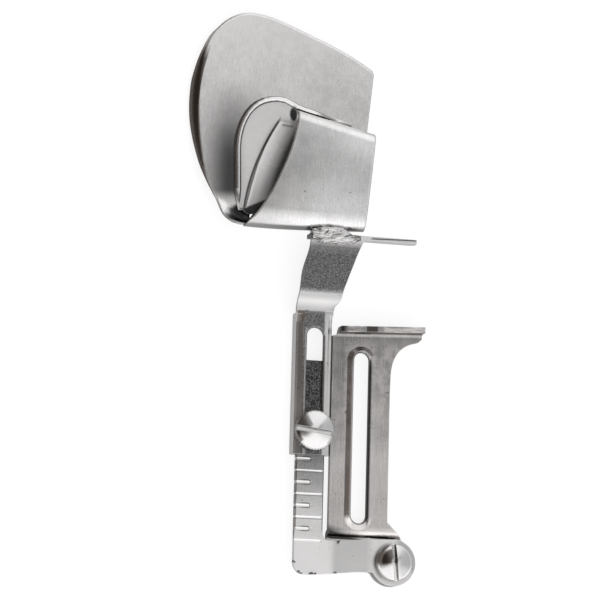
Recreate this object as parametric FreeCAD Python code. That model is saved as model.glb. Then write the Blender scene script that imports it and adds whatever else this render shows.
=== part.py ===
import FreeCAD, Part
import math
import os

V = FreeCAD.Vector

# Frame: origin under the centre of the long slot, in the plane of the machine bed.
# +X is the sewing direction, +Y runs along the slots towards the folder, +Z points up from the bed.

# Mounting bracket
bracket_t = 1.6
plate_z = 1.6
plate_left = -8.35
plate_right = 8.4
plate_top_y = 29.6
flange_height = 3.7
flange_left = -6.9
flange_right = 17.4
flange_skew = 2.6
slot_width = 4.4
slot_half_length = 23.6
rim_height = 0.9
rim_run = 1.6
joggle_y = -26.2
joggle_run = 0.5
lug_r = 6.45

# Pivot
pivot_x = 10.3
pivot_y = -33.9
shoulder_r = 2.5
pivot_clearance = 0.05
pivot_thread_r = 1.75
pivot_head_r = 5.05
pivot_head_h = 2.4
pivot_head_gap = 0.05
head_dome = 0.5
driver_slot_w = 1.25
driver_slot_d = 1.1

# Swing arm
arm_t = 1.6
leg_left = -17.95
leg_right = -9.9
leg_top = 20.7
bar_low = -38.0
leg_corner_r = 3.2
inner_corner_r = 1.9
mark_pitch = 3.175
mark_first_y = -6.6
mark_count = 8
mark_short = 4.5
mark_long = 7.4
mark_depth = 0.16
mark_width = 0.56
collar_r = 3.1
collar_h = 1.0

# Clamp screw
clamp_x = -13.6
clamp_y = 1.0
clamp_shank_r = 1.9
clamp_clearance = 0.05
clamp_head_r = 5.6
clamp_head_h = 2.8
clamp_teeth = 42
clamp_tooth_d = 0.32
clamp_tip_z = 0.7
clamp_head_gap = 0.15

# Slide arm
sheet_t = 1.15
side_clearance = 0.08
channel_foot_z = 0.2
channel_low = -5.45
channel_top = 33.6
channel_bend_r = 0.8
channel_crown = 0.6
channel_crown_left = -16.9
channel_crown_right = -10.35
slide_slot_w = 4.7
slide_slot_low = -1.9
slide_slot_top = 29.7
rise_y = 34.6
rise_run = 4.1
rise_h = 4.0
end_flange_y = 55.5
end_flange_h = 4.8
prong_h = 3.3
prong_end = 14.0

# Folder
fold_t = 0.7
fan_z = 2.5
mouth_front_z = 9.0
exit_front_z = 6.9
fold_low_left = 56.3
fold_low_right = 57.4
fold_top_left = 89.7
fold_top_right = 85.75
top_bend_r = 3.0
top_bend_end = 20.0
belly_r = 12.0
belly_turn = 15.0
guide_t = 0.6
bead_r = 1.05
fan_reach = 50.65
fan_height = 61.1
fan_right = 1.75
fold_corner_x = -36.6
roll_drop = 2.25
curl_height = 3.3
ramp_t = 0.6


def polygon(points, z):
    pts = [V(x, y, z) for x, y in points]
    pts.append(pts[0])
    return Part.Face(Part.makePolygon(pts))


def prism(points, z0, z1):
    return polygon(points, z0).extrude(V(0, 0, z1 - z0))


def side_prism(points, x0, x1):
    pts = [V(x0, y, z) for y, z in points]
    pts.append(pts[0])
    return Part.Face(Part.makePolygon(pts)).extrude(V(x1 - x0, 0, 0))


def spline_edge(points, z=None):
    if z is None:
        pts = [V(*p) for p in points]
    else:
        pts = [V(x, y, z) for x, y in points]
    curve = Part.BSplineCurve()
    curve.interpolate(pts)
    return curve.toShape()


def line(a, b):
    return Part.makeLine(V(*a), V(*b))


def cyl(r, z0, z1, x, y):
    return Part.makeCylinder(r, z1 - z0, V(x, y, z0), V(0, 0, 1))


def turned(profile, dome, cx, cy):
    # solid of revolution: a profile from the axis outwards, closed by a dome that rises by the given height
    r, z = profile[-1]
    big_r = (r * r + dome * dome) / (2.0 * dome)
    z_mid = z + dome - big_r + math.sqrt(big_r * big_r - r * r / 4.0)
    pts = [V(cx + a, cy, b) for a, b in profile]
    top = V(cx, cy, z + dome)
    parts_w = [Part.makePolygon(pts)]
    parts_w.append(Part.Arc(pts[-1], V(cx + r / 2.0, cy, z_mid), top).toShape())
    parts_w.append(Part.makeLine(top, pts[0]))
    return Part.Face(Part.Wire(parts_w)).revolve(V(cx, cy, 0), V(0, 0, 1), 360)


def slot_wire(half_w, y0, y1, z, x=0.0):
    c0 = y0 + half_w
    c1 = y1 - half_w
    e1 = Part.makeLine(V(x - half_w, c0, z), V(x - half_w, c1, z))
    a1 = Part.Arc(V(x - half_w, c1, z), V(x, y1, z), V(x + half_w, c1, z)).toShape()
    e2 = Part.makeLine(V(x + half_w, c1, z), V(x + half_w, c0, z))
    a2 = Part.Arc(V(x + half_w, c0, z), V(x, y0, z), V(x - half_w, c0, z)).toShape()
    return Part.Wire([e1, a1, e2, a2])


def slot_prism(half_w, y0, y1, z0, z1, x=0.0):
    face = Part.Face(slot_wire(half_w, y0, y1, z0, x))
    return face.extrude(V(0, 0, z1 - z0))


def one_solid(shape):
    shape = shape.removeSplitter()
    solids = sorted(shape.Solids, key=lambda s: -s.Volume)
    return solids[0]


def strip_solid(centre, half_t, x0, x1):
    # sheet of constant thickness along a centre line in the YZ plane
    up = []
    down = []
    n = len(centre)
    for i in range(n):
        if i == 0:
            d = (centre[1][0] - centre[0][0], centre[1][1] - centre[0][1])
            k = 1.0
        elif i == n - 1:
            d = (centre[i][0] - centre[i - 1][0], centre[i][1] - centre[i - 1][1])
            k = 1.0
        else:
            a = (centre[i][0] - centre[i - 1][0], centre[i][1] - centre[i - 1][1])
            b = (centre[i + 1][0] - centre[i][0], centre[i + 1][1] - centre[i][1])
            la = math.hypot(*a)
            lb = math.hypot(*b)
            a = (a[0] / la, a[1] / la)
            b = (b[0] / lb, b[1] / lb)
            d = (a[0] + b[0], a[1] + b[1])
            ld = math.hypot(*d)
            k = 1.0 / max(0.3, ld / 2.0)
        ld = math.hypot(*d)
        nx = -d[1] / ld
        ny = d[0] / ld
        up.append((centre[i][0] + nx * half_t * k, centre[i][1] + ny * half_t * k))
        down.append((centre[i][0] - nx * half_t * k, centre[i][1] - ny * half_t * k))
    return side_prism(up + down[::-1], x0, x1)


def rounded(centre, radius, index_steps=6):
    # replaces each inner corner of a polyline by an arc
    out = [centre[0]]
    for i in range(1, len(centre) - 1):
        p = centre[i]
        a = (centre[i - 1][0] - p[0], centre[i - 1][1] - p[1])
        b = (centre[i + 1][0] - p[0], centre[i + 1][1] - p[1])
        la = math.hypot(*a)
        lb = math.hypot(*b)
        a = (a[0] / la, a[1] / la)
        b = (b[0] / lb, b[1] / lb)
        cosine = max(-1.0, min(1.0, a[0] * b[0] + a[1] * b[1]))
        half = math.acos(cosine) / 2.0
        cut = radius / math.tan(half)
        cut = min(cut, 0.49 * la, 0.49 * lb)
        r = cut * math.tan(half)
        bis = (a[0] + b[0], a[1] + b[1])
        lbis = math.hypot(*bis)
        bis = (bis[0] / lbis, bis[1] / lbis)
        cen = (p[0] + bis[0] * r / math.sin(half), p[1] + bis[1] * r / math.sin(half))
        s = (p[0] + a[0] * cut, p[1] + a[1] * cut)
        e = (p[0] + b[0] * cut, p[1] + b[1] * cut)
        a0 = math.atan2(s[1] - cen[1], s[0] - cen[0])
        a1 = math.atan2(e[1] - cen[1], e[0] - cen[0])
        d = a1 - a0
        while d > math.pi:
            d -= 2 * math.pi
        while d < -math.pi:
            d += 2 * math.pi
        for j in range(index_steps + 1):
            t = a0 + d * j / index_steps
            out.append((cen[0] + r * math.cos(t), cen[1] + r * math.sin(t)))
    out.append(centre[-1])
    return out


# Mounting bracket: plate, joggled lug, up-turned flange and raised slot rim, one sheet
plate_top = plate_z + bracket_t
half_b = bracket_t / 2.0
mid_plate = plate_z + half_b
centre = [
    (pivot_y - 12.0, half_b),
    (joggle_y - joggle_run, half_b),
    (joggle_y, mid_plate),
    (18.0, mid_plate),
]
lower = strip_solid(rounded(centre, 0.9), half_b, -30.0, 40.0)
flange_mid_y = plate_top_y + 1.2 - half_b
centre = [
    (10.0, mid_plate),
    (flange_mid_y, mid_plate),
    (flange_mid_y, plate_top + flange_height),
]
upper = strip_solid(rounded(centre, 1.7), half_b, -30.0, 40.0)
upper.rotate(V(4.5, plate_top_y, 0), V(0, 0, 1), flange_skew)
upper = upper.common(Part.makeBox(60, 40, 20, V(-30, 14.0, -1)))
lower = lower.common(Part.makeBox(60, 80, 20, V(-30, -60.0, -1)))
sheet = lower.fuse(upper)

# outline seen from above
right_pts = [
    (plate_right, -22.9),
    (plate_right, 13.0),
    (plate_right + 0.2, 18.6),
    (plate_right + 0.75, 21.5),
    (plate_right + 1.9, 23.9),
    (plate_right + 3.4, 25.5),
    (plate_right + 5.2, 26.6),
    (flange_right - 1.0, 27.5),
]
arc_pts = right_pts[1:]
e_list = []
e_list.append(line((plate_left, joggle_y - 3.2, 0), (plate_left, 28.0, 0)))
e_list.append(line((plate_left, 28.0, 0), (flange_left, 28.4, 0)))
e_list.append(line((flange_left, 28.4, 0), (flange_left, 40.0, 0)))
e_list.append(line((flange_left, 40.0, 0), (flange_right, 40.0, 0)))
e_list.append(line((flange_right, 40.0, 0), (flange_right, 28.4, 0)))
e_list.append(line((flange_right, 28.4, 0), (flange_right - 1.0, 27.5, 0)))
flare = spline_edge([(x, y, 0) for x, y in arc_pts[::-1]])
e_list.append(flare)
e_list.append(line((plate_right, 13.0, 0), (plate_right, -22.9, 0)))
tangent_a = math.radians(43.0)
tan_r = (pivot_x + lug_r * math.cos(tangent_a), pivot_y + lug_r * math.sin(tangent_a))
e_list.append(line((plate_right, -22.9, 0), (tan_r[0], tan_r[1], 0)))
tangent_b = math.radians(209.0)
tan_l = (pivot_x + lug_r * math.cos(tangent_b), pivot_y + lug_r * math.sin(tangent_b))
mid_a = math.radians(-40.0)
mid_p = V(pivot_x + lug_r * math.cos(mid_a), pivot_y + lug_r * math.sin(mid_a), 0)
lug_arc = Part.Arc(V(tan_r[0], tan_r[1], 0), mid_p, V(tan_l[0], tan_l[1], 0)).toShape()
e_list.append(lug_arc)
e_list.append(line((tan_l[0], tan_l[1], 0), (plate_left, joggle_y - 3.2, 0)))
outline = Part.Face(Part.Wire(Part.__sortEdges__(e_list)))
outline.translate(V(0, 0, -1))
bracket = sheet.common(outline.extrude(V(0, 0, 20)))

# rounded upper corners of the flange
flange_top = plate_top + flange_height
corner = 0.7
for cx, sx in ((flange_left, 1), (flange_right, -1)):
    block = Part.makeBox(corner, 8.0, corner, V(min(cx, cx + sx * corner), 27.0, flange_top - corner))
    rod = Part.makeCylinder(corner, 8.0, V(cx + sx * corner, 27.0, flange_top - corner), V(0, 1, 0))
    bracket = bracket.cut(block.cut(rod))

# raised rim round the slot
half_slot = slot_width / 2.0
crest = half_slot + 0.5
y_end = slot_half_length
rim_out = Part.makeLoft([
    slot_wire(crest + rim_run, -y_end - 0.5 - rim_run, y_end + 0.5 + rim_run, plate_top - 0.2),
    slot_wire(crest, -y_end - 0.5, y_end + 0.5, plate_top + rim_height),
], True, True)
rim_in = Part.makeLoft([
    slot_wire(crest + rim_run - 0.5, -y_end - rim_run, y_end + rim_run, plate_z - 0.2),
    slot_wire(half_slot, -y_end, y_end, plate_z + rim_height),
], True, True)
bracket = bracket.fuse(rim_out).cut(rim_in)
lip = Part.makeLoft([
    slot_wire(half_slot, -y_end, y_end, plate_top + rim_height - 0.5),
    slot_wire(half_slot + 0.45, -y_end - 0.45, y_end + 0.45, plate_top + rim_height + 0.02),
], True, True)
bracket = bracket.cut(lip)
bracket = bracket.cut(slot_prism(half_slot, -y_end, y_end, -1, 10))
bracket = bracket.cut(cyl(pivot_thread_r, -1, 5, pivot_x, pivot_y))
mounting_bracket = one_solid(bracket)

# Pivot screw: slotted head, shoulder for the swing arm, thread in the lug
arm_z = bracket_t
arm_top = arm_z + arm_t
head_z = arm_top + pivot_head_gap
profile = [
    (0, 0),
    (pivot_thread_r, 0),
    (pivot_thread_r, bracket_t),
    (shoulder_r, bracket_t),
    (shoulder_r, head_z),
    (pivot_head_r, head_z),
    (pivot_head_r, head_z + pivot_head_h - 0.85),
    (pivot_head_r - 0.15, head_z + pivot_head_h - 0.6),
    (pivot_head_r - 0.5, head_z + pivot_head_h - 0.4),
]
pivot_screw = turned(profile, head_dome, pivot_x, pivot_y)
cut = Part.makeBox(driver_slot_w, 20, 3, V(-driver_slot_w / 2.0, -10, head_z + pivot_head_h - driver_slot_d))
cut.rotate(V(0, 0, 0), V(0, 0, 1), 6.1)
cut.translate(V(pivot_x, pivot_y, 0))
pivot_screw = one_solid(pivot_screw.cut(cut))

# Swing arm: graduated leg, bar and pivot eye, flat sheet with chamfered leg edges
eye_r = lug_r - 0.05
edges = []
c = leg_corner_r
edges.append(line((leg_left, bar_low + c, 0), (leg_left, leg_top - 0.6, 0)))
edges.append(line((leg_left, leg_top - 0.6, 0), (leg_left + 0.6, leg_top, 0)))
edges.append(line((leg_left + 0.6, leg_top, 0), (leg_right - 0.6, leg_top, 0)))
edges.append(line((leg_right - 0.6, leg_top, 0), (leg_right, leg_top - 0.6, 0)))
bar_up_left = (leg_right + inner_corner_r, -28.62)
fil_top = (leg_right, -28.62 + inner_corner_r)
edges.append(line((leg_right, leg_top - 0.6, 0), (fil_top[0], fil_top[1], 0)))
k = inner_corner_r * (1 - math.sqrt(0.5))
fil_mid = V(leg_right + k, -28.62 + k, 0)
edges.append(Part.Arc(V(fil_top[0], fil_top[1], 0), fil_mid, V(bar_up_left[0], bar_up_left[1], 0)).toShape())
eye_top = (pivot_x, pivot_y + eye_r)
edges.append(line((bar_up_left[0], bar_up_left[1], 0), (eye_top[0], eye_top[1], 0)))
eye_a = math.radians(207.0)
eye_low = (pivot_x + eye_r * math.cos(eye_a), pivot_y + eye_r * math.sin(eye_a))
eye_mid = V(pivot_x + eye_r * math.cos(math.radians(-30)), pivot_y + eye_r * math.sin(math.radians(-30)), 0)
edges.append(Part.Arc(V(eye_top[0], eye_top[1], 0), eye_mid, V(eye_low[0], eye_low[1], 0)).toShape())
edges.append(spline_edge([
    (eye_low[0], eye_low[1], 0),
    (0.8, -36.75, 0),
    (-2.5, -37.05, 0),
    (-9.0, -37.75, 0),
    (leg_left + c, bar_low, 0),
]))
k = c * (1 - math.sqrt(0.5))
edges.append(Part.Arc(
    V(leg_left + c, bar_low, 0),
    V(leg_left + k, bar_low + k, 0),
    V(leg_left, bar_low + c, 0),
).toShape())
arm_face = Part.Face(Part.Wire(Part.__sortEdges__(edges)))
arm_face.translate(V(0, 0, arm_z))
swing = arm_face.extrude(V(0, 0, arm_t))
for x0, s in ((leg_left, 1), (leg_right, -1)):
    ch = 0.35
    tri = [(x0 - s * 0.1, arm_top + 0.1), (x0 + s * (ch + 0.1), arm_top + 0.1), (x0 - s * 0.1, arm_top - ch - 0.1)]
    pts = [V(x, -26.0, z) for x, z in tri]
    pts.append(pts[0])
    swing = swing.cut(Part.Face(Part.makePolygon(pts)).extrude(V(0, 60, 0)))
swing = swing.fuse(cyl(collar_r, arm_z - collar_h, arm_z, clamp_x, clamp_y))
swing = swing.cut(cyl(clamp_shank_r + clamp_clearance, -1, 10, clamp_x, clamp_y))
swing = swing.cut(cyl(shoulder_r + pivot_clearance, -1, 10, pivot_x, pivot_y))
nick = Part.makeCylinder(0.75, 4, V(-5.65, -28.35, 0), V(0, 0, 1))
swing = swing.cut(nick)
for i in range(mark_count):
    length = mark_long if i % 2 else mark_short
    y = mark_first_y - mark_pitch * i
    h = mark_width / 2.0
    tri = [V(leg_left - 1, y - h, arm_top), V(leg_left - 1, y + h, arm_top), V(leg_left - 1, y, arm_top - mark_depth)]
    tri.append(tri[0])
    swing = swing.cut(Part.Face(Part.makePolygon(tri)).extrude(V(length + 1, 0, 0)))
    swing = swing.cut(Part.makeCone(0, h, mark_depth, V(leg_left + length, y, arm_top - mark_depth), V(0, 0, 1)))
swing_arm = one_solid(swing)

# Slide arm: channel round the leg, raised arm, end flange with the edge prong, one sheet
half_s = sheet_t / 2.0
ch_l = leg_left - side_clearance - sheet_t
ch_r = leg_right + side_clearance + sheet_t
plate_s = arm_top + half_s
arm_s = plate_s + rise_h
r_o = channel_bend_r
z_hi = arm_top + sheet_t
in_l = ch_l + sheet_t
in_r = ch_r - sheet_t
q = 0.25


def channel_wire(y, x_left, x_right, drop):
    # cross-section of the channel: a flat between two falling shoulders, over the square room for the leg
    z_side = z_hi - drop
    ring_pts = []
    for i in range(5):
        a = math.radians(180 - 90 * i / 4)
        ring_pts.append((ch_l + r_o + r_o * math.cos(a), z_side - r_o + r_o * math.sin(a)))
    ring_pts.append((x_left - 0.3, z_hi - 0.05 * drop))
    ring_pts.append((x_left + 0.1, z_hi))
    ring_pts.append((x_right - 0.1, z_hi))
    ring_pts.append((x_right + 0.3, z_hi - 0.05 * drop))
    for i in range(5):
        a = math.radians(90 - 90 * i / 4)
        ring_pts.append((ch_r - r_o + r_o * math.cos(a), z_side - r_o + r_o * math.sin(a)))
    inner = [
        (ch_r, channel_foot_z),
        (in_r, channel_foot_z),
        (in_r, arm_top - q),
        (in_r - q, arm_top),
        (in_l + q, arm_top),
        (in_l, arm_top - q),
        (in_l, channel_foot_z),
        (ch_l, channel_foot_z),
    ]
    wire_pts = [V(x, y, z) for x, z in ring_pts + inner]
    wire_pts.append(wire_pts[0])
    return Part.makePolygon(wire_pts)


channel = Part.makeLoft([
    channel_wire(channel_low, channel_crown_left + 0.5, channel_crown_right - 0.6, channel_crown),
    channel_wire(channel_top - 2.4, channel_crown_left, channel_crown_right, channel_crown),
    channel_wire(channel_top, channel_crown_left - 0.4, channel_crown_right + 0.4, 0.06),
], True, True)
# rounded lower ends of the side flanges
for z0, y0, sy in ((channel_foot_z, channel_low, 1), (channel_foot_z, channel_top, -1)):
    r = 0.9
    block = Part.makeBox(30, r, r, V(-28, min(y0, y0 + sy * r), z0))
    rod = Part.makeCylinder(r, 30, V(-28, y0 + sy * r, z0 + r), V(1, 0, 0))
    channel = channel.cut(block.cut(rod))

face_y = end_flange_y - half_s
centre = [
    (channel_top - 2.0, plate_s),
    (rise_y, plate_s),
    (rise_y + rise_run, arm_s),
    (face_y, arm_s),
    (face_y, arm_s + half_s - end_flange_h),
]
arm_sheet = strip_solid(rounded(centre, 1.1), half_s, -30.0, 20.0)
left_pts = [
    (ch_l, channel_top - 0.3),
    (ch_l + 0.05, 34.4),
    (ch_l - 0.2, 36.5),
    (ch_l - 0.2, 38.6),
    (-19.1, 41.2),
    (-18.9, 43.6),
    (-18.2, 46.8),
    (-17.3, 49.6),
    (-16.8, 51.6),
    (-16.6, 53.4),
    (-16.6, 57.0),
]
right_pts = [
    (-1.0, 57.0),
    (-1.2, 54.6),
    (-1.9, 53.1),
    (-2.6, 51.6),
    (-3.5, 49.4),
    (-4.45, 46.8),
    (-5.5, 44.0),
    (-6.45, 41.4),
    (-7.15, 39.2),
    (-7.35, 38.0),
    (-7.65, 36.9),
    (-8.25, 36.0),
    (ch_r, 35.3),
    (ch_r, channel_top - 0.3),
]
lw = [spline_edge([(x, y, 0) for x, y in left_pts[1:-1]])]
lw.append(line((left_pts[0][0], left_pts[0][1], 0), (left_pts[1][0], left_pts[1][1], 0)))
lw.append(line((left_pts[-2][0], left_pts[-2][1], 0), (left_pts[-1][0], left_pts[-1][1], 0)))
lw.append(line((left_pts[-1][0], left_pts[-1][1], 0), (right_pts[0][0], right_pts[0][1], 0)))
lw.append(line((right_pts[0][0], right_pts[0][1], 0), (right_pts[1][0], right_pts[1][1], 0)))
lw.append(spline_edge([(x, y, 0) for x, y in right_pts[1:-1]]))
lw.append(line((right_pts[-2][0], right_pts[-2][1], 0), (right_pts[-1][0], right_pts[-1][1], 0)))
lw.append(line((right_pts[-1][0], right_pts[-1][1], 0), (left_pts[0][0], left_pts[0][1], 0)))
arm_outline = Part.Face(Part.Wire(Part.__sortEdges__(lw)))
arm_outline.translate(V(0, 0, -1))
raised = arm_sheet.common(arm_outline.extrude(V(0, 0, 20)))
z_arm = arm_s + half_s
p_low = z_arm - prong_h
prong_pts = [
    (-4.0, p_low),
    (prong_end - 1.1, p_low),
    (prong_end - 0.3, p_low + 0.5),
    (prong_end, p_low + 1.3),
    (prong_end, z_arm - 0.9),
    (prong_end - 0.3, z_arm - 0.25),
    (prong_end - 0.9, z_arm),
    (-2.4, z_arm),
    (-4.0, z_arm - 0.9),
]
pts = [V(x, end_flange_y - sheet_t, z) for x, z in prong_pts]
pts.append(pts[0])
prong = Part.Face(Part.makePolygon(pts)).extrude(V(0, sheet_t, 0))
slide = channel.fuse(raised).fuse(prong)
slide = slide.cut(slot_prism(slide_slot_w / 2.0, slide_slot_low, slide_slot_top, 0, 20, clamp_x))
bevel = Part.makeLoft([
    slot_wire(slide_slot_w / 2.0, slide_slot_low, slide_slot_top, z_hi - 0.35, clamp_x),
    slot_wire(slide_slot_w / 2.0 + 0.5, slide_slot_low - 0.5, slide_slot_top + 0.5, z_hi + 0.05, clamp_x),
], True, True)
slide = slide.cut(bevel)
slide_arm = one_solid(slide)

# Clamp screw: knurled slotted head, shank through the slot into the collar of the leg
star = []
under_head = z_hi + clamp_head_gap
n = clamp_teeth
for i in range(n):
    a = 2 * math.pi * i / n
    b = 2 * math.pi * (i + 0.5) / n
    star.append((clamp_x + clamp_head_r * math.cos(a), clamp_y + clamp_head_r * math.sin(a)))
    ri = clamp_head_r - clamp_tooth_d
    star.append((clamp_x + ri * math.cos(b), clamp_y + ri * math.sin(b)))
head = prism(star, under_head, under_head + clamp_head_h + 1.0)
profile = [
    (0, under_head),
    (clamp_head_r - 0.3, under_head),
    (clamp_head_r + 0.05, under_head + 0.35),
    (clamp_head_r + 0.05, under_head + clamp_head_h - 0.85),
    (clamp_head_r - 0.2, under_head + clamp_head_h - 0.55),
    (clamp_head_r - 0.55, under_head + clamp_head_h - 0.45),
]
head = head.common(turned(profile, head_dome, clamp_x, clamp_y))
shank = cyl(clamp_shank_r, clamp_tip_z, under_head + 0.2, clamp_x, clamp_y)
cut = Part.makeBox(20, 1.3, 4, V(-10, -0.65, under_head + clamp_head_h - 1.25))
cut.rotate(V(0, 0, 0), V(0, 0, 1), -6.0)
cut.translate(V(clamp_x, clamp_y - 0.15, 0))
clamp_screw = one_solid(head.fuse(shank).cut(cut))

# Folder scroll: fan plate, rolled edge, bottom fold, front face and top fold, one sheet
fan_top = fan_z + fold_t


def fan_pt(u, v):
    # u: share of the fan's reach, from its right edge to the left. v: share of its height over the bottom fold.
    return (fan_right - fan_reach * u, fold_low_left + fan_height * v)


fan_left_top = [
    (fold_corner_x, fold_low_left - 0.4),
    fan_pt(0.777, 0.001),
    fan_pt(0.807, 0.020),
    fan_pt(0.834, 0.041),
    fan_pt(0.850, 0.066),
    fan_pt(0.862, 0.094),
    fan_pt(0.883, 0.134),
    fan_pt(0.907, 0.174),
    fan_pt(0.933, 0.228),
    fan_pt(0.950, 0.282),
    fan_pt(0.962, 0.341),
    fan_pt(0.974, 0.409),
    fan_pt(0.982, 0.478),
    fan_pt(0.987, 0.547),
    fan_pt(0.986, 0.617),
    fan_pt(0.980, 0.687),
    fan_pt(0.971, 0.748),
    fan_pt(0.959, 0.802),
    fan_pt(0.941, 0.853),
    fan_pt(0.895, 0.918),
    fan_pt(0.812, 0.975),
    fan_pt(0.718, 1.000),
]
top_right = [
    fan_pt(0.718, 1.000),
    fan_pt(0.603, 0.989),
    fan_pt(0.431, 0.941),
    fan_pt(0.169, 0.853),
    fan_pt(0.023, 0.787),
]
corner_mid = fan_pt(0.004, 0.773)
corner_end = fan_pt(0.000, 0.753)
right_mid = fan_pt(0.031, 0.486)
right_low = fan_pt(0.052, 0.067)
fold_root = fan_pt(0.658, 0.067)
fe = []
fe.append(spline_edge([(x, y, 0) for x, y in fan_left_top]))
fe.append(spline_edge([(x, y, 0) for x, y in top_right]))
fe.append(Part.Arc(V(*top_right[-1], 0), V(*corner_mid, 0), V(*corner_end, 0)).toShape())
fe.append(line((*corner_end, 0), (*right_mid, 0)))
fe.append(line((*right_mid, 0), (*right_low, 0)))
fe.append(line((*right_low, 0), (right_low[0], fold_low_left - 0.4, 0)))
fe.append(line((right_low[0], fold_low_left - 0.4, 0), (fold_corner_x, fold_low_left - 0.4, 0)))
outline_face = Part.Face(Part.Wire(Part.__sortEdges__(fe)))
outline_face.translate(V(0, 0, fan_z))
fan = outline_face.extrude(V(0, 0, fold_t))
curl_start = fan_pt(0.895, 0.157)
below_curl = [
    (-60.0, curl_start[1] + 0.4584 * (curl_start[0] + 60.0)),
    fold_root,
    (fan_right + 5.0, fold_root[1]),
    (fan_right + 5.0, fold_low_left - 5.0),
    (-60.0, fold_low_left - 5.0),
]
fan = fan.cut(prism(below_curl, fan_z - 1.0, fan_top + 1.0))

# the sheet curls up along its lower left corner and runs into the bottom fold
curl_stations = [
    (-47.0, 11.0, fold_t),
    (-43.0, 9.0, fold_t),
    (-40.0, 7.0, fold_t),
    (-36.5, 4.8, fold_t),
    (-33.0, 3.32, fold_t - 0.24),
]
wires = []
for x, r, t in curl_stations:
    cy = fold_low_left + r + (fold_t - t) / 2.0
    lift = (fold_t - t) / 2.0
    turn = math.acos(max(0.03, 1.0 - curl_height / r))
    half = turn / 2.0
    cz = fan_z + lift + r
    rr = r - t
    far = (cy + 2.4, fan_z + lift)
    e1 = Part.makeLine(V(x, far[0], far[1]), V(x, cy, far[1]))
    a1 = Part.Arc(
        V(x, cy, far[1]),
        V(x, cy - r * math.sin(half), cz - r * math.cos(half)),
        V(x, cy - r * math.sin(turn), cz - r * math.cos(turn)),
    ).toShape()
    e2 = Part.makeLine(
        V(x, cy - r * math.sin(turn), cz - r * math.cos(turn)),
        V(x, cy - rr * math.sin(turn), cz - rr * math.cos(turn)),
    )
    a2 = Part.Arc(
        V(x, cy - rr * math.sin(turn), cz - rr * math.cos(turn)),
        V(x, cy - rr * math.sin(half), cz - rr * math.cos(half)),
        V(x, cy, far[1] + t),
    ).toShape()
    e3 = Part.makeLine(V(x, cy, far[1] + t), V(x, far[0], far[1] + t))
    e4 = Part.makeLine(V(x, far[0], far[1] + t), V(x, far[0], far[1]))
    wires.append(Part.Wire([e1, a1, e2, a2, e3, e4]))
curl = Part.makeLoft(wires, True, True)
outline_low = outline_face.copy()
outline_low.translate(V(0, 0, -fan_z - 1.0))
curl = curl.common(outline_low.extrude(V(0, 0, 20.0)))

# rolled left edge, lofted through cross-sections along the fan's own outline
rail = Part.BSplineCurve()
rail.interpolate([V(x, y, 0) for x, y in fan_left_top])
roll_start = rail.parameter(V(*fan_left_top[6], 0))
roll_end = rail.parameter(V(*fan_left_top[19], 0))
roll_grow = Part.BSplineCurve()
roll_grow.interpolate([
    V(0.00, 0.04, 0),
    V(0.06, 0.24, 0),
    V(0.14, 0.72, 0),
    V(0.22, 1.30, 0),
    V(0.31, 1.82, 0),
    V(0.40, 2.22, 0),
    V(0.50, 2.40, 0),
    V(0.60, 2.36, 0),
    V(0.70, 2.10, 0),
    V(0.79, 1.50, 0),
    V(0.88, 0.80, 0),
    V(0.95, 0.40, 0),
    V(1.00, 0.04, 0),
])
grow_edge = roll_grow.toShape()
roll_n = 28
wires = []
for j in range(roll_n + 1):
    f = j / roll_n
    at_rail = roll_start + (roll_end - roll_start) * f
    base = rail.value(at_rail)
    tan = rail.tangent(at_rail)[0]
    nx = -abs(tan.y)
    ny = tan.x if tan.y > 0 else -tan.x
    w = max(0.04, roll_grow.intersectCC(Part.LineSegment(V(f, -5, 0), V(f, 9, 0)))[0].Y)
    k = min(1.0, w / 1.2)
    d = max(fold_t + 0.03, roll_drop * w / 2.4)
    t = fold_t * (0.3 + 0.7 * k)
    section = [
        (-0.9, -0.15),
        (-0.05, -0.03),
        (0.25 * w, -0.09 * d),
        (0.50 * w, -0.27 * d),
        (0.75 * w, -0.56 * d),
        (w, -d),
        (w - 0.8 * t * k, -d),
        (0.75 * w - 0.75 * t, -0.56 * d - 0.45 * t),
        (0.50 * w - 0.55 * t, -0.27 * d - 0.80 * t),
        (0.20 * w - 0.45 * t, -0.09 * d - 0.97 * t),
        (-0.4 - 0.1 * k, -fold_t + 0.04),
        (-0.9, -fold_t + 0.15),
    ]
    pts = [V(base.x + nx * u, base.y + ny * u, fan_top + z) for u, z in section]
    pts.append(pts[0])
    wires.append(Part.makePolygon(pts))
roll = Part.makeLoft(wires, True, True)

# front of the scroll, lofted between cross-sections along X


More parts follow.
